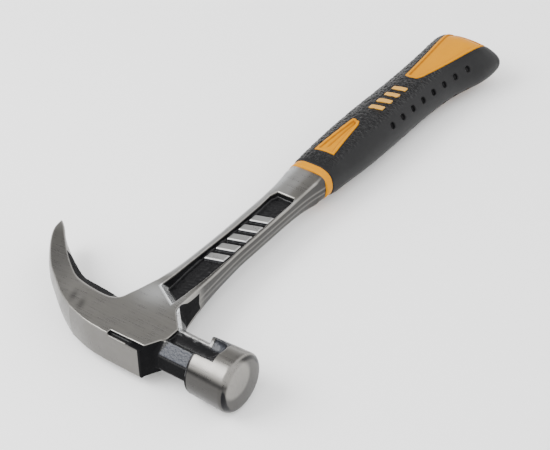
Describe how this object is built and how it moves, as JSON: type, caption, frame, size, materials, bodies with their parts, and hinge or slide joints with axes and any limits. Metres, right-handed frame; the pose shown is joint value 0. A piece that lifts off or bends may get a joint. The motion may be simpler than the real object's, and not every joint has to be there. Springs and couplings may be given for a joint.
{
  "type": "claw hammer",
  "caption": "One-piece forged claw hammer with an I-section shank, fluted neck, curved nail claws and a two-tone moulded grip.",
  "frame": {"origin": "middle of the bounding box on the surface the hammer lies on", "axes": "+X along the handle from the butt to the crown, +Y the striking direction, +Z out of the upper cheek"},
  "size_m": [0.3141, 0.1399, 0.0285],
  "materials": {
    "forged_steel": "satin ground faces on the cheeks, claws, crown, flanges and poll",
    "black_enamel": "glossy black enamel in the recesses, flutes, chamfers and claw bevels",
    "core_plastic": "semi-gloss amber moulding with fine grain",
    "cover_rubber": "soft charcoal cover, leather grain on the upper part, smooth on the striking side",
    "badge_plastic": "pale amber matt bars"
  },
  "bodies": {
    "root": {"forged_body": "forged_steel", "grip_core": "core_plastic", "grip_cover": "cover_rubber"}
  },
  "joints": []
}
